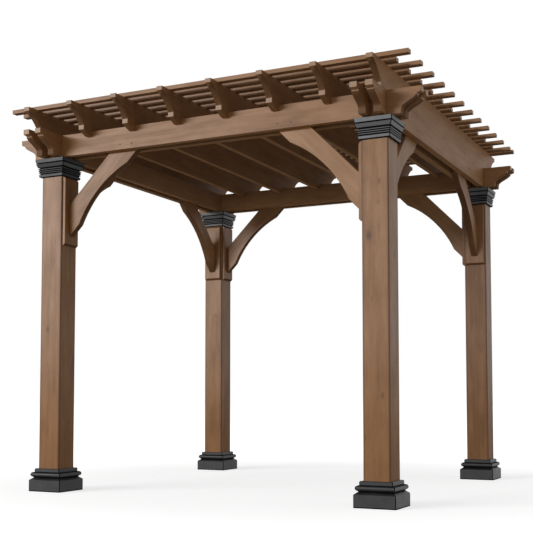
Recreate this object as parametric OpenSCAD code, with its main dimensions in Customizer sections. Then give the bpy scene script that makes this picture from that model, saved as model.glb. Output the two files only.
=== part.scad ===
// Garden pergola: four square posts on moulded bases carry paired beams on all four
// sides, notched rafters with shaped tails and a top layer of thin slats.
// Millimetres. X runs along the front, Y from front to back, Z up from the ground.
// The origin is on the ground, midway between the four posts.

/* [Posts] */
// Distance between post centres along the front
span_x = 2100; // [1900:10:2400]
// Distance between post centres from front to back
span_y = 2030; // [1900:10:2400]
// Width of a square post
post_w = 150; // [140:1:160]
// Length of a post, which is the height of the beams' underside
post_h = 2040; // [1950:5:2300]
// Bevel on the four long edges of a post
post_bevel = 4; // [2:0.5:6]

/* [Base moulding] */
// How far the plinth stands out from the post
base_out = 40; // [34:1:50]
// Height of the plain plinth
plinth_h = 80; // [60:1:100]
// Height of the mouldings above the plinth
base_trim_h = 57; // [48:1:72]

/* [Capital moulding] */
// How far the top band stands out from the post
capital_out = 32; // [24:1:36]
// Height of the whole capital
capital_h = 112; // [100:1:130]
// Shadow gap between a capital and the beams
capital_gap = 9; // [4:1:14]

/* [Beams] */
// Thickness of a beam board
beam_t = 41; // [36:1:44]
// Height of a beam board
beam_h = 134; // [125:1:150]
// Clear gap between the two boards of a pair
beam_gap = 44; // [40:1:50]
// Reach of a front or back beam's tail beyond the face of the post
beam_reach = 176; // [165:1:200]
// Reach of a side beam's tail beyond the face of the post
side_reach = 198; // [180:1:215]

/* [Rafters] */
// Thickness of a rafter
rafter_t = 37; // [34:1:44]
// Height of a rafter
rafter_h = 171; // [160:1:190]
// Depth of the notches that sit a rafter down over the beams
rafter_notch = 33; // [26:1:38]
// Reach of a rafter's tail beyond the face of the post
rafter_reach = 196; // [180:1:215]
// Flat stretch of a rafter's underside between its tail and the beam
rafter_land = 16; // [4:1:24]

/* [Slats] */
// Number of slats across the rafters
slat_count = 24; // [18:2:26]
// Width of a slat
slat_w = 41; // [36:1:46]
// Thickness of a slat
slat_t = 24; // [18:1:28]
// Reach of a long slat beyond the face of the post
slat_reach = 150; // [130:1:170]
// How much shorter every second slat stops at the right end
slat_stagger = 100; // [70:1:110]
// Distance from a rafter's nose to the centre of the outermost slat
slat_inset = 106; // [90:1:150]

/* [Knee braces] */
// Length of a brace along the beam, and down the post, to its outer ends
brace_leg = 490; // [440:5:540]
// Leg of the straight upper edge
brace_upper = 290; // [260:5:310]
// Length of the clipped ends, along the beam
brace_clip = 72; // [60:1:90]
// Hollow of the arched lower edge, measured from its chord
brace_hollow = 44; // [34:1:54]

/* [Cleats] */
// Thickness of the backing boards between post and brace
cleat_t = 20; // [16:1:24]
// Width of a backing board
cleat_w = 132; // [110:1:138]
// How far a backing board runs below the brace
cleat_below = 58; // [40:1:80]
// Bevel on the ends of a backing board
cleat_bevel = 12; // [6:1:14]

/* [Hidden] */
$fn = 48;
// Clearance between neighbouring pieces
fit = 0.3;
rafter_count = 8;
wood = [0.52, 0.37, 0.26];
wood_dark = [0.44, 0.29, 0.18];
black = [0.17, 0.17, 0.17];

post_x = span_x / 2;
post_y = span_y / 2;
face_x = post_x + post_w / 2;
face_y = post_y + post_w / 2;

beam_z = post_h;
beam_top = beam_z + beam_h;
beam_mid = beam_z + beam_h / 2;
beam_off = (beam_gap + beam_t) / 2;
beam_end_x = face_x + beam_reach;
beam_end_y = face_y + side_reach;

rafter_z = beam_top - rafter_notch;
rafter_top = rafter_z + rafter_h;
rafter_end = face_y + rafter_reach;
rafter_x = post_x + beam_off + (beam_t - rafter_t) / 2;
rafter_pitch = 2 * rafter_x / (rafter_count - 1);

slat_end = face_x + slat_reach;
slat_y = rafter_end - slat_inset;
slat_pitch = 2 * slat_y / (slat_count - 1);
slat_third = floor(slat_count / 3);

base_h = plinth_h + base_trim_h;
capital_top = post_h - capital_gap;
capital_z = capital_top - capital_h;
cleat_top = capital_z - 1;
cleat_z = post_h - brace_leg - cleat_below;

brace_t = beam_gap - 2 * fit;
brace_up = beam_h - rafter_notch - 14;

// A right-hand half outline, listed upwards or inwards, with its mirror image
function both_sides(p) = concat(p, [for (i = [len(p) - 1 : -1 : 0]) [-p[i][0], p[i][1]]]);

// Points of an arc about c from angle a0 to a1
function arc(c, r, a0, a1, n) = [
    for (i = [0 : n])
    let (a = a0 + (a1 - a0) * i / n)
    [c[0] + r * cos(a), c[1] + r * sin(a)]
];

// Points of an ogee from a to b, upright at both ends
function ogee(a, b, n) = [
    for (i = [0 : n])
    let (t = i / n)
    [a[0] + (b[0] - a[0]) * (1 - cos(180 * t)) / 2, a[1] + (b[1] - a[1]) * t]
];

// A moulding of square plan: an outline in X and Z, mitred at four corners
module square_moulding(outline) {
    len = 3 * post_w;
    intersection() {
        rotate([90, 0, 0]) linear_extrude(len, center = true) polygon(outline);
        rotate([90, 0, 90]) linear_extrude(len, center = true) polygon(outline);
    }
}

// Base, upwards: plinth with a bevelled top, scotia, half-round and ring
function base_outline() =
    let (half = post_w / 2)
    let (bevel_h = 0.3 * base_out)
    let (neck_x = half + 0.6 * base_out)
    let (scotia_r = 0.06 * base_trim_h)
    let (round_r = 0.25 * base_trim_h)
    let (round_x = half + 0.85 * base_out - round_r)
    let (round_z = plinth_h + 2 * scotia_r + round_r)
    let (ring_x = half + 0.4 * base_out)
    let (ring_z = round_z + round_r)
    let (ring_top = ring_z + 0.3 * base_trim_h)
    both_sides(concat(
        [[half + base_out, 0], [half + base_out, plinth_h - bevel_h], [neck_x, plinth_h]],
        arc([neck_x, plinth_h + scotia_r], scotia_r, 270, 90, 8),
        arc([round_x, round_z], round_r, -72, 90, 14),
        [[ring_x, ring_z], [ring_x, ring_top], [half + 0.3 * base_out, base_h]]
    ));

// Capital, upwards: foot bevel, plain band, three beads, splayed band and top band
function capital_outline() =
    let (half = post_w / 2)
    let (out = capital_out)
    let (u = capital_h / 112)
    let (z = capital_z)
    both_sides(concat(
        [[half + 0.15 * out, z], [half + 0.42 * out, z + 4 * u], [half + 0.48 * out, z + 18 * u]],
        [[half + 0.3 * out, z + 19.5 * u], [half + 0.3 * out, z + 24.5 * u]],
        arc([half + 0.36 * out, z + 29 * u], 4 * u, -90, 90, 8),
        arc([half + 0.4 * out, z + 39.5 * u], 4.6 * u, -90, 90, 8),
        arc([half + 0.44 * out, z + 51 * u], 4.6 * u, -90, 90, 8),
        [[half + 0.36 * out, z + 57 * u], [half + 0.36 * out, z + 60 * u]],
        [[half + 0.64 * out, z + 61.5 * u], [half + 0.92 * out, z + 84 * u]],
        [[half + 0.66 * out, z + 85 * u], [half + 0.66 * out, z + 88 * u]],
        [[half + 0.9 * out, z + 89 * u], [half + out, capital_top]]
    ));

// Square post with bevelled edges
module post(sx, sy) {
    h = post_w / 2;
    b = post_bevel;
    color(wood)
    translate([sx * post_x, sy * post_y, 0])
    linear_extrude(post_h)
    polygon([
        [h - b, -h], [h, -h + b], [h, h - b], [h - b, h],
        [-h + b, h], [-h, h - b], [-h, -h + b], [-h + b, -h]
    ]);
}

// Hole through a moulding for its post
module post_hole() {
    w = post_w + 2 * fit;
    translate([-w / 2, -w / 2, -1]) cube([w, w, post_h + 2]);
}

// Moulded base around the foot of a post
module base(sx, sy) {
    color(black)
    translate([sx * post_x, sy * post_y, 0])
    difference() {
        square_moulding(base_outline());
        post_hole();
    }
}

// Moulded capital at the top of a post
module capital(sx, sy) {
    color(black)
    translate([sx * post_x, sy * post_y, 0])
    difference() {
        square_moulding(capital_outline());
        post_hole();
    }
}

// Backing board against a post's +X face, with bevelled top and bottom
module cleat_board() {
    rotate([90, 0, 0])
    linear_extrude(cleat_w, center = true)
    polygon([
        [post_w / 2, cleat_z],
        [post_w / 2 + cleat_t - cleat_bevel, cleat_z],
        [post_w / 2 + cleat_t, cleat_z + cleat_bevel],
        [post_w / 2 + cleat_t, cleat_top - cleat_bevel],
        [post_w / 2 + cleat_t - cleat_bevel, cleat_top],
        [post_w / 2, cleat_top]
    ]);
}

// The two backing boards on the inner faces of a post
module cleats(sx, sy) {
    color(wood_dark)
    translate([sx * post_x, sy * post_y, 0]) {
        rotate([0, 0, sx > 0 ? 180 : 0]) cleat_board();
        rotate([0, 0, sy > 0 ? -90 : 90]) cleat_board();
    }
}

// Outline of a brace: a runs along the beam, b up from the beam's underside
module brace_outline() {
    clip = brace_clip;
    leg = brace_leg;
    chord = leg - 2 * clip;
    half_chord = chord / sqrt(2);
    r = half_chord * half_chord / (2 * brace_hollow) + brace_hollow / 2;
    c = leg / 2 + (r - brace_hollow) / sqrt(2);
    difference() {
        polygon([
            [brace_upper, brace_up], [leg, brace_up], [leg, 0],
            [leg - clip, -clip], [clip, clip - leg], [0, -leg],
            [0, -brace_upper], [brace_upper, 0]
        ]);
        translate([c, -c]) circle(r, $fn = 180);
    }
}

// Knee brace that rises along +X from a backing board at the origin's post
module brace_shape() {
    translate([post_w / 2 + cleat_t, 0, beam_z])
    rotate([90, 0, 0])
    linear_extrude(brace_t, center = true)
    brace_outline();
}

// Brace under the front or back beams
module brace_along_x(sx, sy) {
    color(wood)
    translate([sx * post_x, sy * post_y, 0])
    rotate([0, 0, sx > 0 ? 180 : 0])
    brace_shape();
}

// Brace under the side beams
module brace_along_y(sx, sy) {
    color(wood)
    translate([sx * post_x, sy * post_y, 0])
    rotate([0, 0, sy > 0 ? -90 : 90])
    brace_shape();
}

// Outline of a beam board that ends at x = -e and e, top at y = 0
// Its tails have a nose, a step, an ogee and a foot
function beam_outline(e, reach) = both_sides(concat(
    [[e, 0], [e, -0.22 * beam_h], [e - 0.13 * reach, -0.26 * beam_h]],
    ogee([e - 0.14 * reach, -0.28 * beam_h], [e - 0.62 * reach, -0.8 * beam_h], 14),
    [[e - 0.63 * reach, -beam_h]]
));

// A beam board along X
module beam_board(e, reach) {
    translate([0, beam_t / 2, beam_top])
    rotate([90, 0, 0])
    linear_extrude(beam_t)
    polygon(beam_outline(e, reach));
}

// Slots where the boards of the other direction cross, at x = p on both sides
module crossings(p, z, h) {
    w = beam_t + 2 * fit;
    for (s = [-1, 1], k = [-1, 1])
        translate([s * p + k * beam_off - w / 2, -beam_t, z]) cube([w, 2 * beam_t, h]);
}

// Board of the front or back pair, slotted from above
module beam_x(sy, k) {
    color(wood)
    translate([0, sy * (post_y + k * beam_off), 0])
    difference() {
        beam_board(beam_end_x, beam_reach);
        crossings(post_x, beam_mid, beam_h);
    }
}

// Board of a side pair, slotted from below
module beam_y(sx, k) {
    color(wood)
    translate([sx * (post_x + k * beam_off), 0, 0])
    rotate([0, 0, 90])
    difference() {
        beam_board(beam_end_y, side_reach);
        crossings(post_y, beam_z - beam_h / 2, beam_h);
    }
}

// Outline of a rafter: ends at y = -e and e, top at 0, tails of nose, hollow, foot and slope
module rafter_outline() {
    e = rafter_end;
    nose = 0.14 * rafter_h;
    hollow = 0.62 * rafter_reach;
    hollow_h = 0.66 * rafter_h;
    heel = post_y + beam_off + beam_t / 2 + rafter_land;
    rise = hollow_h - nose;
    chord = sqrt(hollow * hollow + rise * rise);
    sag = 0.1 * chord;
    r = chord * chord / (8 * sag) + sag / 2;
    cx = e - hollow / 2 + (r - sag) * rise / chord;
    cy = -(nose + hollow_h) / 2 - (r - sag) * hollow / chord;
    difference() {
        polygon(both_sides([
            [e, 0], [e, -nose], [e - hollow, -hollow_h],
            [e - hollow, -0.82 * rafter_h], [heel, -rafter_h]
        ]));
        for (s = [-1, 1]) translate([s * cx, cy]) circle(r, $fn = 120);
    }
}

// A rafter along Y, notched over the four boards that it crosses
module rafter(i) {
    x = -rafter_x + i * rafter_pitch;
    w = beam_t + 2 * fit;
    over_side = i == 0 || i == rafter_count - 1;
    color(wood_dark)
    translate([x, 0, 0])
    difference() {
        translate([-rafter_t / 2, 0, rafter_top])
        rotate([90, 0, 90])
        linear_extrude(rafter_t)
        rafter_outline();
        if (over_side)
            translate([-rafter_t, -rafter_end - 1, rafter_z - 1])
            cube([2 * rafter_t, 2 * rafter_end + 2, rafter_notch + 1]);
        else
            for (s = [-1, 1], k = [-1, 1])
                translate([-rafter_t, s * post_y + k * beam_off - w / 2, rafter_z - 1])
                cube([2 * rafter_t, w, rafter_notch + 1]);
    }
}

// Slats first to last, laid across the rafters; every second one stops short
module slats(first, last) {
    color(wood)
    for (i = [first : last]) {
        short = i % 2 == 1 && i < slat_count - 1;
        len = 2 * slat_end - (short ? slat_stagger : 0);
        translate([-slat_end, -slat_y + i * slat_pitch - slat_w / 2, rafter_top])
        cube([len, slat_w, slat_t]);
    }
}

post(-1, -1);  // post_front_left
post(1, -1);  // post_front_right
post(-1, 1);  // post_back_left
post(1, 1);  // post_back_right
base(-1, -1);  // base_front_left
base(1, -1);  // base_front_right
base(-1, 1);  // base_back_left
base(1, 1);  // base_back_right
capital(-1, -1);  // capital_front_left
capital(1, -1);  // capital_front_right
capital(-1, 1);  // capital_back_left
capital(1, 1);  // capital_back_right
cleats(-1, -1);  // cleats_front_left
cleats(1, -1);  // cleats_front_right
cleats(-1, 1);  // cleats_back_left
cleats(1, 1);  // cleats_back_right
brace_along_x(-1, -1);  // brace_front_left
brace_along_x(1, -1);  // brace_front_right
brace_along_x(-1, 1);  // brace_back_left
brace_along_x(1, 1);  // brace_back_right
brace_along_y(-1, -1);  // brace_left_front
brace_along_y(-1, 1);  // brace_left_back
brace_along_y(1, -1);  // brace_right_front
brace_along_y(1, 1);  // brace_right_back
beam_x(-1, 1);  // beam_front_outer
beam_x(-1, -1);  // beam_front_inner
beam_x(1, 1);  // beam_back_outer
beam_x(1, -1);  // beam_back_inner
beam_y(-1, 1);  // beam_left_outer
beam_y(-1, -1);  // beam_left_inner
beam_y(1, 1);  // beam_right_outer
beam_y(1, -1);  // beam_right_inner
rafter(0);  // rafter_1
rafter(1);  // rafter_2
rafter(2);  // rafter_3
rafter(3);  // rafter_4
rafter(4);  // rafter_5
rafter(5);  // rafter_6
rafter(6);  // rafter_7
rafter(7);  // rafter_8
slats(0, slat_third - 1);  // slats_front
slats(slat_third, 2 * slat_third - 1);  // slats_middle
slats(2 * slat_third, slat_count - 1);  // slats_back
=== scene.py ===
from math import cos, pi, radians, sin

import bmesh
import bpy
from mathutils import Matrix, Vector


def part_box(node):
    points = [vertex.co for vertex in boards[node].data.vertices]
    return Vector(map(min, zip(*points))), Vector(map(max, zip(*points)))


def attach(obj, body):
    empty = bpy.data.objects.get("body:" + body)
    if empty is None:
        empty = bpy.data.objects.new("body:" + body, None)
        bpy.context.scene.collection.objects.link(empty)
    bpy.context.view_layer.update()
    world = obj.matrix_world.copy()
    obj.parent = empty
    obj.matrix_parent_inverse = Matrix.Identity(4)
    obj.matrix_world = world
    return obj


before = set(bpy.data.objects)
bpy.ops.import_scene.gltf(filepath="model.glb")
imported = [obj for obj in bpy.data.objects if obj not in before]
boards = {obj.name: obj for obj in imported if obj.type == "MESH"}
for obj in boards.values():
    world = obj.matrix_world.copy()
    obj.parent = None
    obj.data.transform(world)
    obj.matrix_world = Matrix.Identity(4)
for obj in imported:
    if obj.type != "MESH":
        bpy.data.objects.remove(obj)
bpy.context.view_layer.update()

# Posts
# Four square cedar posts, planed, with eased edges, and brushed with a brown stain.
# Each stands inside its base and runs up to the beams, with the grain upright.
CORNERS = ("front_left", "front_right", "back_left", "back_right")
UPRIGHT = (0, 0, 0)
POST_EDGE = 0.0025
# The back right post is made darker as painted shade for the shade it stands in.
POST_PAINTED_SHADE = {"back_right": -0.15}
STAIN_DARK = (0.138, 0.060, 0.019, 1)
STAIN_MID = (0.216, 0.101, 0.036, 1)
STAIN_LIGHT = (0.276, 0.136, 0.054, 1)
# Painted light on flat undersides:
UNDERSIDE_PAINTED_LIGHT = (0.370, 0.180, 0.066, 1)
# A pale painted sheen on end grain:
END_GRAIN_SHEEN = (0.300, 0.195, 0.125, 1)
# Painted shade on slopes that face down and on the end grain of beam feet:
PAINTED_SHADE_BROWN = (0.060, 0.024, 0.007, 1)
# Painted shade along a post's edges:
ARRIS_PAINTED_SHADE = (0.095, 0.034, 0.008, 1)
KNOT_HEART = (0.050, 0.022, 0.009, 1)
# How strong the painted light on flat undersides is:
UNDERSIDE_LIGHT_SHARE = 0.75
# How strong the painted sheen on end grain is:
END_SHEEN_SHARE = 0.7
# How strong that painted shade is:
PAINTED_SHADE_SHARE = 0.75
PORE_SHARE = 0.35
# How strong the painted shade along a post's edges is, and how wide:
ARRIS_SHADE_SHARE = 0.75
ARRIS_SHADE_WIDTH = 0.014
# How much darker a post is towards its foot, and the heights over which that fades:
FOOT_DARKENING_SHARE = 0.22
FOOT_DARKENING_HEIGHTS = (0.15, 1.0)
FOOT_FADE = 0.004
WOOD_GLOSS = 0.25
BRUSHED_ROUGH = (0.46, 0.38)
DULL_BELOW = 0.5
PORE_DEPTH = 0.25
STREAK_STRETCH = (1, 1, 0.055)
PATCH_STRETCH = (1, 1, 0.4)
KNOT_STRETCH = (1, 1, 0.6)
# How near a face's normal lies to the grain, where end grain sets in and where sides leave off.
END_FACES = (0.8, 0.95)
SIDE_FACES = (0.5, 0.8)
# How far a face looks up, from -1 on a flat underside to 1 on a top.
# Slopes between these get painted shade.
SLOPES_FROM = (-0.40, -0.15)
SLOPES_TO = (-0.98, -0.90)
UNDERSIDES = (-0.99, -0.92)
DULL_FACES = (-0.6, -0.2)


def put(tree, kind, inputs=None, **settings):
    """A shader node with its settings, and its inputs set or linked."""
    made = tree.nodes.new(kind)
    for name, value in settings.items():
        setattr(made, name, value)
    for name, value in (inputs or {}).items():
        if isinstance(value, bpy.types.NodeSocket):
            tree.links.new(value, made.inputs[name])
        else:
            made.inputs[name].default_value = value
    return made


def ramp(tree, factor, *stops):
    """A colour ramp on factor through (place, colour) stops."""
    made = put(tree, "ShaderNodeValToRGB", {"Fac": factor})
    bar = made.color_ramp
    while len(bar.elements) < len(stops):
        bar.elements.new(0.5)
    for element, (place, colour) in zip(bar.elements, stops):
        element.position = place
        element.color = colour
    return made.outputs["Color"]


def spread(tree, value, low, high, to_low, to_high):
    """value mapped smoothly from low and high to two new ends."""
    made = put(
        tree,
        "ShaderNodeMapRange",
        {"Value": value, "From Min": low, "From Max": high, "To Min": to_low, "To Max": to_high},
        interpolation_type="SMOOTHSTEP",
    )
    return made.outputs["Result"]


def reckon(tree, operation, a, b=0.0):
    """One sum of two numbers or sockets."""
    return put(tree, "ShaderNodeMath", {0: a, 1: b}, operation=operation).outputs[0]


def between(tree, a, b):
    """The way from point b to point a."""
    return put(tree, "ShaderNodeVectorMath", {0: a, 1: b}, operation="SUBTRACT").outputs[0]


def unsigned(tree, way):
    """A way with all its parts made positive."""
    return put(tree, "ShaderNodeVectorMath", {0: way}, operation="ABSOLUTE").outputs[0]


def length(tree, way):
    """How long a way is."""
    return put(tree, "ShaderNodeVectorMath", {0: way}, operation="LENGTH").outputs["Value"]


def upward(tree, way):
    """The upright part of a way."""
    return put(tree, "ShaderNodeSeparateXYZ", {"Vector": way}).outputs["Z"]


def mix(tree, share, a, b):
    """Two colours mixed by share; the Mix node's colour sockets go by number."""
    return put(tree, "ShaderNodeMix", {0: share, 6: a, 7: b}, data_type="RGBA").outputs[2]


def noise(tree, place, scale, detail, roughness=0.5, distortion=0.0):
    """Soft noise between 0 and 1."""
    made = put(
        tree,
        "ShaderNodeTexNoise",
        {
            "Vector": place,
            "Scale": scale,
            "Detail": detail,
            "Roughness": roughness,
            "Distortion": distortion,
        },
    )
    return made.outputs["Fac"]


def stained_wood(
    name, grain, seed, tone=0.0, knots=(), arris=None, rough=0.0, underside_light=UNDERSIDE_LIGHT_SHARE, foot=0.0
):
    """Stained cedar whose grain is upright once the board is turned by grain.

    Streaks of early and late wood lie over soft patches and under fine pores, and tone makes them
    paler. Knots have a centre, a radius and a darkness. arris is the middle and half width of a post,
    which gets painted shade along its edges and is darker towards its foot. End grain gets a pale
    painted sheen, and painted shade below the height foot. Slopes that face down get painted shade
    and are dull, flat undersides get a share of painted light, and rough is how much duller than
    planed wood the sides of the board are."""
    made = bpy.data.materials.new(name)
    made.use_nodes = True
    tree = made.node_tree
    shader = tree.nodes["Principled BSDF"]
    coordinates = put(tree, "ShaderNodeTexCoord")
    place = coordinates.outputs["Object"]
    normal = coordinates.outputs["Normal"]
    height = upward(tree, place)
    facing = upward(tree, normal)
    turned = put(tree, "ShaderNodeMapping", {"Vector": place, "Rotation": grain}).outputs[0]
    along = put(tree, "ShaderNodeMapping", {"Vector": normal, "Rotation": grain}).outputs[0]
    end_grain = reckon(tree, "ABSOLUTE", upward(tree, along))

    long = put(
        tree,
        "ShaderNodeMapping",
        {
            "Vector": turned,
            "Location": (seed * 1.7, seed * 2.3, seed * 0.9),
            "Scale": STREAK_STRETCH,
        },
    ).outputs[0]
    short = put(
        tree,
        "ShaderNodeMapping",
        {
            "Vector": turned,
            "Location": (seed * 0.7, seed * 1.3, seed * 1.9),
            "Scale": PATCH_STRETCH,
        },
    ).outputs[0]
    patches = noise(tree, short, scale=11, detail=3, roughness=0.55)
    streaks = noise(tree, long, scale=42, detail=5, roughness=0.62, distortion=0.35)
    pores = noise(tree, long, scale=420, detail=2)
    figure = reckon(
        tree,
        "ADD",
        reckon(tree, "MULTIPLY", streaks, 0.5),
        reckon(tree, "MULTIPLY", patches, 0.5),
    )
    stain = ramp(
        tree,
        reckon(tree, "ADD", figure, tone),
        (0.30, STAIN_DARK),
        (0.50, STAIN_MID),
        (0.72, STAIN_LIGHT),
    )
    coloured = mix(tree, spread(tree, pores, 0.52, 0.75, 0.0, PORE_SHARE), stain, STAIN_DARK)

    for centre, radius, darkness in knots:
        away = put(
            tree,
            "ShaderNodeVectorMath",
            {0: between(tree, place, centre), 1: KNOT_STRETCH},
            operation="MULTIPLY",
        )
        reach = length(tree, away.outputs[0])
        heart = spread(tree, reach, 0.3 * radius, 1.5 * radius, darkness, 0.0)
        coloured = mix(tree, heart, coloured, KNOT_HEART)
    if arris:
        middle, half = arris
        off = unsigned(tree, between(tree, place, middle))
        off = put(tree, "ShaderNodeSeparateXYZ", {"Vector": off})
        inner = reckon(tree, "MINIMUM", off.outputs["X"], off.outputs["Y"])
        # Painted shade along the post's edges.
        shaded_arris = spread(tree, inner, half - ARRIS_SHADE_WIDTH, half - 0.5 * ARRIS_SHADE_WIDTH, 0.0, ARRIS_SHADE_SHARE)
        coloured = mix(tree, shaded_arris, coloured, ARRIS_PAINTED_SHADE)
        # The post is darker towards its foot.
        darker_to_foot = spread(tree, height, *FOOT_DARKENING_HEIGHTS, FOOT_DARKENING_SHARE, 0.0)
        coloured = mix(tree, darker_to_foot, coloured, STAIN_DARK)

    # End grain gets a pale painted sheen.
    end_sheen = spread(tree, end_grain, *END_FACES, 0.0, END_SHEEN_SHARE)
    coloured = mix(tree, end_sheen, coloured, END_GRAIN_SHEEN)
    # End grain below the height foot gets painted shade.
    shaded_end_foot = reckon(
        tree,
        "MULTIPLY",
        spread(tree, end_grain, *END_FACES, 0.0, PAINTED_SHADE_SHARE),
        spread(tree, height, foot, foot + FOOT_FADE, 1.0, 0.0),
    )
    coloured = mix(tree, shaded_end_foot, coloured, PAINTED_SHADE_BROWN)
    # Slopes that face down get painted shade.
    shaded_slope = reckon(
        tree,
        "MULTIPLY",
        spread(tree, facing, *SLOPES_FROM, PAINTED_SHADE_SHARE, 0.0),
        spread(tree, facing, *SLOPES_TO, 0.0, 1.0),
    )
    coloured = mix(tree, shaded_slope, coloured, PAINTED_SHADE_BROWN)
    # Flat undersides get a share of painted light.
    coloured = mix(tree, spread(tree, facing, *UNDERSIDES, underside_light, 0.0), coloured, UNDERSIDE_PAINTED_LIGHT)
    tree.links.new(coloured, shader.inputs["Base Color"])

    brushed = spread(tree, figure, 0.3, 0.7, *BRUSHED_ROUGH)
    dull = reckon(
        tree,
        "MAXIMUM",
        spread(tree, facing, *DULL_FACES, DULL_BELOW, 0.0),
        spread(tree, end_grain, *SIDE_FACES, rough, 0.0),
    )
    dull_foot = darker_to_foot if arris else reckon(tree, "MULTIPLY", shaded_end_foot, DULL_BELOW)
    dull = reckon(tree, "MAXIMUM", dull, dull_foot)
    tree.links.new(reckon(tree, "ADD", brushed, dull), shader.inputs["Roughness"])
    relief = reckon(tree, "SUBTRACT", figure, reckon(tree, "MULTIPLY", pores, PORE_DEPTH))
    bump = put(tree, "ShaderNodeBump", {"Height": relief, "Strength": 0.22, "Distance": 0.003})
    tree.links.new(bump.outputs["Normal"], shader.inputs["Normal"])
    shader.inputs["Specular IOR Level"].default_value = WOOD_GLOSS
    return made


def ease_edges(board, radius, crease):
    """Rounds a board's edges over with modifiers, so its own mesh stays as it is."""
    weld = board.modifiers.new("joined_faces", "WELD")
    weld.merge_threshold = 0.00002
    flat = board.modifiers.new("flat_faces", "DECIMATE")
    flat.decimate_type = "DISSOLVE"
    flat.angle_limit = radians(0.3)
    edge = board.modifiers.new("eased_edges", "BEVEL")
    edge.width = radius
    edge.segments = 2
    edge.limit_method = "ANGLE"
    edge.angle_limit = radians(crease)
    edge.harden_normals = True


def finish_board(name, material, radius, crease=20):
    """Gives a board its finish, and eases its edges sharper than crease degrees."""
    board = boards[name]
    board.data.materials.clear()
    board.data.materials.append(material)
    ease_edges(board, radius, crease)


post_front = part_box("post_front_right")[0].y
post_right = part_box("post_front_right")[1].x
inner_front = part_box("post_back_left")[0].y
post_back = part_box("post_back_left")[1].y
# Each knot's centre, its radius and how dark it is.
post_knots = {
    "front_left": [
        ((-1.07, post_front, 0.98), 0.012, 0.7),
        ((-1.02, post_front, 1.52), 0.009, 0.35),
    ],
    "front_right": [
        ((1.013, post_front, 1.412), 0.016, 0.8),
        ((1.073, post_front, 1.695), 0.010, 0.5),
        ((1.065, post_front, 1.584), 0.009, 0.35),
        ((1.028, post_front, 1.083), 0.009, 0.35),
        ((1.083, post_front, 0.577), 0.010, 0.5),
        ((0.988, post_front, 0.359), 0.009, 0.4),
        ((post_right, -1.007, 1.316), 0.011, 0.5),
        ((post_right, -1.019, 0.576), 0.009, 0.4),
    ],
    "back_left": [
        ((-1.03, inner_front, 1.21), 0.011, 0.5),
        ((-1.125, 1.04, 0.74), 0.013, 0.6),
    ],
    "back_right": [
        ((post_right, 1.0, 0.92), 0.011, 0.5),
        ((1.06, post_back, 1.37), 0.014, 0.7),
    ],
}
for turn, corner in enumerate(CORNERS):
    name = f"post_{corner}"
    low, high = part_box(name)
    stain = stained_wood(
        f"{name}_stain",
        UPRIGHT,
        seed=3 + turn * 1.9,
        tone=POST_PAINTED_SHADE.get(corner, 0.0),
        knots=post_knots[corner],
        arris=((low + high) / 2, (high.x - low.x) / 2),
    )
    finish_board(name, stain, POST_EDGE)

# Base and capital mouldings
# Moulded collars in satin black that slide over each post: a plinth with a half-round and a
# ring at the foot, and a stack of beads and bands under the beams. Painted shade runs down each
# corner.
BLACK = (0.006, 0.006, 0.0063, 1)
BLACK_WORN = (0.012, 0.012, 0.0124, 1)
BASE_EDGE = 0.0015
CAPITAL_EDGE = 0.00075
MOULDING_CREASE = 40
BASE_GLOSS = 0.31
CAPITAL_GLOSS = {"front_left": 0.34, "front_right": 0.66, "back_left": 0.52, "back_right": 0.52}
BASE_SATIN = 0.38
CAPITAL_SATIN = 0.42
SATIN_SPREAD = 0.08
SHADE_ROUGH = 0.5
SHADED_UNDERSIDES = (-0.9, -0.6)
# Each groove's height above the collar's foot, and half its width.
BASE_GROOVES = ((0.0, 0.0050), (0.0855, 0.0050), (0.1140, 0.0030))
CAPITAL_GROOVES = (
    (0.0220, 0.0034),
    (0.0343, 0.0022),
    (0.0452, 0.0022),
    (0.0585, 0.0036),
    (0.0865, 0.0034),
)
# Half the width of the painted shade down each corner:
CORNER_SHADE_HALF = 0.0028
# The painted shade of a groove or corner has gone at so many times its half width.
GROOVE_FADE = 1.4
CORNER_SHADE_FADE = 1.8
post_middle = sum(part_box("base_back_right"), Vector()) / 2


def off_mitre(tree, place):
    """How far a point lies from the nearest corner of the collar that it is on."""
    off = unsigned(tree, between(tree, unsigned(tree, place), post_middle))
    off = put(tree, "ShaderNodeSeparateXYZ", {"Vector": off})
    return reckon(tree, "ABSOLUTE", reckon(tree, "SUBTRACT", off.outputs["X"], off.outputs["Y"]))


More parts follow.
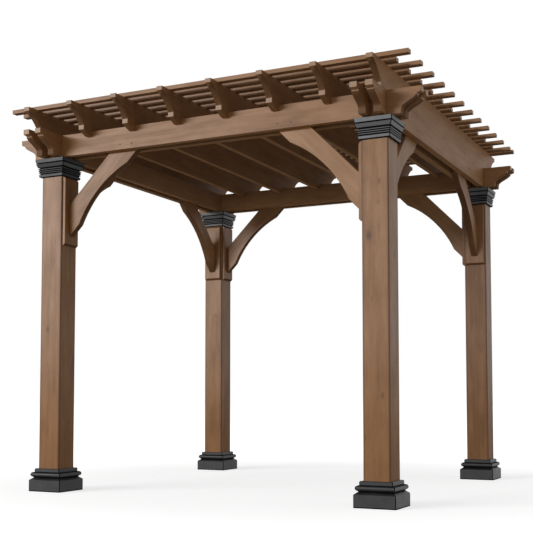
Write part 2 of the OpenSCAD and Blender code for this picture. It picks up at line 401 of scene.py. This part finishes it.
def satin_black(name, gloss, satin, grooves):
    """Moulded black with a faint orange-peel skin, as rough as satin.

    Its grooves of (height, half width), its undersides and its corners get painted shade: there it is
    a dull black metal, which reflects next to nothing."""
    made = bpy.data.materials.new(name)
    made.use_nodes = True
    tree = made.node_tree
    shader = tree.nodes["Principled BSDF"]
    coordinates = put(tree, "ShaderNodeTexCoord")
    place = coordinates.outputs["Object"]
    height = upward(tree, place)
    facing = upward(tree, coordinates.outputs["Normal"])
    clouds = noise(tree, place, scale=14, detail=4, roughness=0.6)
    worn = ramp(tree, clouds, (0.35, BLACK), (0.7, BLACK_WORN))
    tree.links.new(worn, shader.inputs["Base Color"])

    shade = spread(tree, facing, *SHADED_UNDERSIDES, 1.0, 0.0)
    for middle, half in grooves:
        off = reckon(tree, "ABSOLUTE", reckon(tree, "SUBTRACT", height, middle))
        groove = spread(tree, off, half, GROOVE_FADE * half, 1.0, 0.0)
        shade = reckon(tree, "MAXIMUM", shade, groove)
    # Painted shade down each corner of the collar.
    shaded_corner = spread(tree, off_mitre(tree, place), CORNER_SHADE_HALF, CORNER_SHADE_FADE * CORNER_SHADE_HALF, 1.0, 0.0)
    shade = reckon(tree, "MAXIMUM", shade, shaded_corner)
    # Painted shade: the shaded places become a black metal that reflects next to nothing.
    tree.links.new(shade, shader.inputs["Metallic"])

    skin = spread(tree, clouds, 0.3, 0.7, satin, satin + SATIN_SPREAD)
    skin = reckon(tree, "ADD", skin, reckon(tree, "MULTIPLY", shade, SHADE_ROUGH))
    tree.links.new(skin, shader.inputs["Roughness"])
    shader.inputs["Specular IOR Level"].default_value = gloss
    peel = noise(tree, place, scale=520, detail=1)
    bump = put(tree, "ShaderNodeBump", {"Height": peel, "Strength": 0.06, "Distance": 0.001})
    tree.links.new(bump.outputs["Normal"], shader.inputs["Normal"])
    return made


capital_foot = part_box("capital_front_left")[0].z
capital_grooves = [(capital_foot + rise, half) for rise, half in CAPITAL_GROOVES]
base_black = satin_black("satin_black_base", BASE_GLOSS, BASE_SATIN, BASE_GROOVES)
for corner in CORNERS:
    finish_board(f"base_{corner}", base_black, BASE_EDGE, MOULDING_CREASE)
    capital_black = satin_black(
        f"satin_black_capital_{corner}", CAPITAL_GLOSS[corner], CAPITAL_SATIN, capital_grooves
    )
    finish_board(f"capital_{corner}", capital_black, CAPITAL_EDGE, MOULDING_CREASE)

# Cleats
# Backing boards screwed to the two inner faces of each post, bevelled at both ends.
# They spread the load of the braces that bear on them.
CLEAT_EDGE = 0.003
CLEAT_TONE = -0.04
for turn, corner in enumerate(CORNERS):
    name = f"cleats_{corner}"
    stain = stained_wood(f"{name}_stain", UPRIGHT, seed=21 + turn * 1.3, tone=CLEAT_TONE)
    finish_board(name, stain, CLEAT_EDGE)

# Knee braces
# Arched braces band-sawn from wide boards, so the grain runs from end to end at 45 degrees.
# The foot bears on a cleat, and the top is held between the two boards of a beam.
BRACE_EDGE = 0.004
BRACE_TONE = 0.02
# Per brace, painted light or shade for how it is lit: darker at front left and back left, paler at
# front right.
BRACE_PAINTED_LIGHT_AND_SHADE = {"front_left": -0.05, "front_right": 0.10, "back_left": -0.12}
LEAN = radians(45)
brace_grains = {
    "front_left": (0, -LEAN, 0),
    "front_right": (0, LEAN, 0),
    "back_left": (0, -LEAN, 0),
    "back_right": (0, LEAN, 0),
    "left_front": (LEAN, 0, 0),
    "left_back": (-LEAN, 0, 0),
    "right_front": (LEAN, 0, 0),
    "right_back": (-LEAN, 0, 0),
}
for turn, (place, grain) in enumerate(brace_grains.items()):
    name = f"brace_{place}"
    tone = BRACE_PAINTED_LIGHT_AND_SHADE.get(place, BRACE_TONE)
    stain = stained_wood(f"{name}_stain", grain, seed=33 + turn * 1.1, tone=tone)
    finish_board(name, stain, BRACE_EDGE)

# Beams
# Pairs of planed boards on edge on all four sides, half-lapped where they cross on the posts.
# Each end is sawn to a nose, an ogee and a foot, whose end grain gets painted shade.
ALONG_X = (0, radians(-90), 0)
ALONG_Y = (radians(90), 0, 0)
BEAM_EDGE = 0.0025
FLUSH_EDGE = 0.0005
FLUSH_BEAMS = ("beam_left_outer", "beam_right_outer")
# Share of a beam's height, from below, in which its end grain gets painted shade:
BEAM_FOOT_SHARE = 0.22
# How pale each beam's stain is, and how dull its sides are.
OUTER_FINISH = (0.0, 0.0)
# The inner boards are made paler as painted light for the shade they stand in.
INNER_PAINTED_LIGHT_AND_ROUGH = (0.16, 0.2)
SIDE_FINISH = (0.06, 0.11)
for turn, side in enumerate(("front", "back", "left", "right")):
    for step, layer in enumerate(("outer", "inner")):
        name = f"beam_{side}_{layer}"
        edge = BEAM_EDGE
        tone, rough = INNER_PAINTED_LIGHT_AND_ROUGH if layer == "inner" else OUTER_FINISH
        if name in FLUSH_BEAMS:
            edge = FLUSH_EDGE
            tone, rough = SIDE_FINISH
        low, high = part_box(name)
        stain = stained_wood(
            f"{name}_stain",
            ALONG_X if side in ("front", "back") else ALONG_Y,
            seed=51 + 2.7 * turn + step,
            tone=tone,
            rough=rough,
            foot=low.z + BEAM_FOOT_SHARE * (high.z - low.z),
        )
        finish_board(name, stain, edge)

# Rafters
# Eight boards on edge from front to back, notched over the beams, with hollow-sawn tails.
# The outermost two sit on the side beams and come flush with their outer faces.
RAFTER_EDGE = 0.0015
RAFTER_TONE = 0.04
SAWN_ROUGH = 0.3
RAFTERS = range(1, 9)
FLUSH_RAFTERS = {1: "beam_left_outer_stain", 8: "beam_right_outer_stain"}
for count in RAFTERS:
    name = f"rafter_{count}"
    if count in FLUSH_RAFTERS:
        finish_board(name, bpy.data.materials[FLUSH_RAFTERS[count]], FLUSH_EDGE)
        continue
    stain = stained_wood(
        f"{name}_stain", ALONG_Y, seed=71 + count * 1.6, tone=RAFTER_TONE, rough=SAWN_ROUGH
    )
    finish_board(name, stain, RAFTER_EDGE)

# Rafter feet
# The square foot that ends each hollow, sawn in one piece with the rafter, with the same grain.
# Behind it the underside slopes down to the beam.
FOOT_BACK = 0.124
FOOT_TOP = 0.118
FOOT_LOW = 0.145
FOOT_LAND = 0.016
FOOT_PROUD = 0.0002
FOOT_EDGE = 0.0012
beam_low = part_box("beam_front_outer")[0]


def add_piece(name, mesh, material):
    """Makes an object of a finished bmesh that stays with the frame."""
    bmesh.ops.recalc_face_normals(mesh, faces=mesh.faces)
    data = bpy.data.meshes.new(name)
    mesh.to_mesh(data)
    mesh.free()
    data.materials.append(material)
    piece = bpy.data.objects.new(name, data)
    bpy.context.scene.collection.objects.link(piece)
    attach(piece, "root")


for count in RAFTERS:
    low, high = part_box(f"rafter_{count}")
    front = low.y + FOOT_BACK
    heel = beam_low.y - FOOT_LAND
    top = high.z - FOOT_TOP
    outline = ((front, top), (front, max(high.z - FOOT_LOW, low.z)), (heel, low.z), (heel, top))
    mesh = bmesh.new()
    for end in (1, -1):
        rim = [mesh.verts.new((low.x - FOOT_PROUD, end * y, z)) for y, z in outline]
        grown = bmesh.ops.extrude_face_region(mesh, geom=[mesh.faces.new(rim)])["geom"]
        far = [v for v in grown if isinstance(v, bmesh.types.BMVert)]
        bmesh.ops.translate(mesh, vec=(high.x - low.x + 2 * FOOT_PROUD, 0, 0), verts=far)
    bmesh.ops.recalc_face_normals(mesh, faces=mesh.faces)
    bmesh.ops.bevel(
        mesh,
        geom=mesh.edges[:],
        offset=FOOT_EDGE,
        segments=2,
        profile=0.5,
        affect="EDGES",
        material=-1,
    )
    add_piece(f"rafter_{count}_feet", mesh, boards[f"rafter_{count}"].data.materials[0])

# Slats
# Thin strips screwed across the rafters at even spaces, every second one cut short at the right.
# They are sawn from the same stock and stained alike on all sides before they go up.
SLAT_EDGE = 0.0018
# The slats' flat undersides get no painted light.
SLAT_UNDERSIDE_LIGHT = 0.0
for turn, third in enumerate(("front", "middle", "back")):
    name = f"slats_{third}"
    stain = stained_wood(f"{name}_stain", ALONG_X, seed=91 + turn * 2.1, underside_light=SLAT_UNDERSIDE_LIGHT)
    finish_board(name, stain, SLAT_EDGE)

# Screws
# Coated steel screws with small flat heads, driven nearly flush. They go through the beams into
# the braces, in a row along the side beams, and into the rafters wherever a slat crosses one.
SCREW_RADIUS = 0.0048
SCREW_PROUD = 0.0009
SCREW_SIDES = 10
SCREW_BROWN = (0.045, 0.026, 0.016, 1)
SCREW_WORN = (0.10, 0.07, 0.05, 1)
FRONT_BRACE_SCREWS = (0.478, 0.560)
FRONT_BRACE_RISE = 0.031
SIDE_ROW_SCREWS = (-0.55, -0.31, -0.03, 0.21, 0.45, 0.69)
SIDE_ROW_DROP = 0.016
SIDE_BRACE_SCREWS = (-0.548, 0.548)
SIDE_BRACE_RISE = 0.045
SLAT_COUNT = 24
SLAT_WIDTH = 0.041


def screw_head(mesh, place, out):
    """A flat head with a rounded rim and a hollow drive, facing out."""
    before = set(mesh.verts)
    made = bmesh.ops.create_circle(mesh, cap_ends=True, radius=SCREW_RADIUS, segments=SCREW_SIDES)
    cap = made["verts"][0].link_faces[0]
    top = bmesh.ops.extrude_face_region(mesh, geom=[cap])["geom"]
    face = next(g for g in top if isinstance(g, bmesh.types.BMFace))
    bmesh.ops.translate(mesh, vec=(0, 0, SCREW_PROUD), verts=face.verts)
    for inwards, upwards in ((0.3, 0.2), (0.25, -0.8)):
        bmesh.ops.inset_region(
            mesh, faces=[face], thickness=inwards * SCREW_RADIUS, depth=upwards * SCREW_PROUD
        )
    turn = Vector((0, 0, 1)).rotation_difference(Vector(out)).to_matrix().to_4x4()
    head = [v for v in mesh.verts if v not in before]
    bmesh.ops.transform(mesh, matrix=Matrix.Translation(place) @ turn, verts=head)


def screws(name, places):
    """One piece of many screw heads at (place, outward direction) pairs."""
    mesh = bmesh.new()
    for place, out in places:
        screw_head(mesh, place, out)
    add_piece(name, mesh, screw_finish)


screw_finish = bpy.data.materials.new("coated_screw")
screw_finish.use_nodes = True
coat = screw_finish.node_tree
coat_shader = coat.nodes["Principled BSDF"]
coat_wear = noise(coat, put(coat, "ShaderNodeTexCoord").outputs["Object"], scale=900, detail=2)
coat_colour = ramp(coat, coat_wear, (0.4, SCREW_BROWN), (0.75, SCREW_WORN))
coat.links.new(coat_colour, coat_shader.inputs["Base Color"])
coat_shader.inputs["Metallic"].default_value = 0.3
coat_shader.inputs["Roughness"].default_value = 0.6

brace_screws = []
for x in FRONT_BRACE_SCREWS:
    for sign in (-1, 1):
        rise = beam_low.z + FRONT_BRACE_RISE
        brace_screws.append(((sign * x, beam_low.y, rise), (0, -1, 0)))
        brace_screws.append(((sign * x, -beam_low.y, rise), (0, 1, 0)))
screws("brace_screws", brace_screws)

side_low, side_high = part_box("beam_right_outer")
side_screws = []
for y in SIDE_ROW_SCREWS:
    for sign in (-1, 1):
        side_screws.append(((sign * side_high.x, y, side_high.z - SIDE_ROW_DROP), (sign, 0, 0)))
for y in SIDE_BRACE_SCREWS:
    for sign in (-1, 1):
        side_screws.append(((sign * side_high.x, y, side_low.z + SIDE_BRACE_RISE), (sign, 0, 0)))
screws("side_beam_screws", side_screws)

slat_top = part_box("slats_front")[1].z
first_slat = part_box("slats_front")[0].y + 0.5 * SLAT_WIDTH
last_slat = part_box("slats_back")[1].y - 0.5 * SLAT_WIDTH
slat_screws = []
for count in RAFTERS:
    low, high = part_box(f"rafter_{count}")
    for row in range(SLAT_COUNT):
        y = first_slat + (last_slat - first_slat) * row / (SLAT_COUNT - 1)
        slat_screws.append((((low.x + high.x) / 2, y, slat_top), (0, 0, 1)))
screws("slat_screws", slat_screws)

# Floor
# A wide pale sheet that catches the soft shadows under the posts. Where it is seen it also
# glows, and more so further out, so that it runs into the white backdrop with no horizon.
FLOOR_HALF = 60
FLOOR_WHITE = (0.6, 0.6, 0.6, 1)
FLOOR_BELOW = (0.35, 0.35, 0.35, 1)
FLOOR_GLOW = 0.70
GLOW_REACH = (1.3, 4.5)
WHITE = (1, 1, 1, 1)


def seen_rays(tree):
    """1 for rays that see a surface, straight or in gloss or glass, and 0 for those that light."""
    rays = put(tree, "ShaderNodeLightPath").outputs
    mirrored = reckon(tree, "MAXIMUM", rays["Is Glossy Ray"], rays["Is Transmission Ray"])
    return reckon(tree, "MAXIMUM", rays["Is Camera Ray"], mirrored)


sheet = bmesh.new()
bmesh.ops.create_grid(sheet, x_segments=1, y_segments=1, size=FLOOR_HALF)
floor_data = bpy.data.meshes.new("floor")
sheet.to_mesh(floor_data)
sheet.free()
floor = bpy.data.objects.new("floor", floor_data)
bpy.context.scene.collection.objects.link(floor)
pale = bpy.data.materials.new("pale_floor")
pale.use_nodes = True
tree = pale.node_tree
tree.nodes.clear()
seen = seen_rays(tree)
distance = length(tree, put(tree, "ShaderNodeTexCoord").outputs["Object"])
glow = reckon(tree, "MULTIPLY", seen, spread(tree, distance, *GLOW_REACH, FLOOR_GLOW, 1.0))
lit = put(tree, "ShaderNodeBsdfDiffuse", {"Color": mix(tree, seen, FLOOR_BELOW, FLOOR_WHITE)})
shine = put(tree, "ShaderNodeEmission", {"Color": WHITE, "Strength": glow})
both = put(tree, "ShaderNodeAddShader", {0: lit.outputs[0], 1: shine.outputs[0]})
put(tree, "ShaderNodeOutputMaterial", {"Surface": both.outputs[0]})
floor_data.materials.append(pale)

# Light
# A low wide strip from the front left, a lower one from the front and a soft one from the right.
# A wide panel above and a dim dome fill the rest, and where the dome is seen it is white.
DOME = 0.10
LIGHT_AIM = Vector((0, 0, 1.2))
LIGHT_REACH = 25
world = bpy.data.worlds.new("studio")
bpy.context.scene.world = world
world.use_nodes = True
sky = world.node_tree
sky.nodes.clear()
dome_glow = spread(sky, seen_rays(sky), 0, 1, DOME, 1.0)
dome = put(sky, "ShaderNodeBackground", {"Color": WHITE, "Strength": dome_glow})
put(sky, "ShaderNodeOutputWorld", {"Surface": dome.outputs[0]})


def softbox(name, azimuth, elevation, width, height, glow):
    """A soft rectangular light that faces the frame; a glow of 1 is white."""
    turn, lift = radians(azimuth), radians(elevation)
    out = Vector((sin(turn) * cos(lift), -cos(turn) * cos(lift), sin(lift)))
    lamp = bpy.data.lights.new(name, "AREA")
    lamp.shape = "RECTANGLE"
    lamp.size = width
    lamp.size_y = height
    lamp.energy = glow * pi * width * height
    holder = bpy.data.objects.new(name, lamp)
    holder.location = LIGHT_AIM + LIGHT_REACH * out
    holder.rotation_euler = out.to_track_quat("Z", "Y").to_euler()
    holder.visible_camera = False
    bpy.context.scene.collection.objects.link(holder)


softbox("key", azimuth=-35, elevation=11.5, width=17, height=2.4, glow=37.0)
softbox("front_fill", azimuth=15, elevation=0, width=20, height=1.8, glow=10.0)
softbox("fill", azimuth=95, elevation=4, width=15, height=5, glow=4.7)
softbox("top", azimuth=0, elevation=85, width=17.5, height=17.5, glow=1.0)

# Camera
# A low camera to the right of the front, which looks up a little.
# The rest of the rise is taken by the lens.
FOCAL_PIXELS = 1009.5
IMAGE_PIXELS = 533
LENS_RISE = 68.4
LOOK_UP = radians(3.5)
CAMERA_PLACE = (2.8461, -6.0141, 0.5712)
CAMERA_TURN = 0.4579
camera_data = bpy.data.cameras.new("camera")
camera_data.sensor_width = 36
camera_data.lens = FOCAL_PIXELS * camera_data.sensor_width / IMAGE_PIXELS
camera_data.shift_y = LENS_RISE / IMAGE_PIXELS
camera = bpy.data.objects.new("camera", camera_data)
camera.location = CAMERA_PLACE
camera.rotation_euler = (radians(90) + LOOK_UP, 0, CAMERA_TURN)
bpy.context.scene.collection.objects.link(camera)
bpy.context.scene.camera = camera
bpy.context.scene.view_settings.view_transform = "Standard"
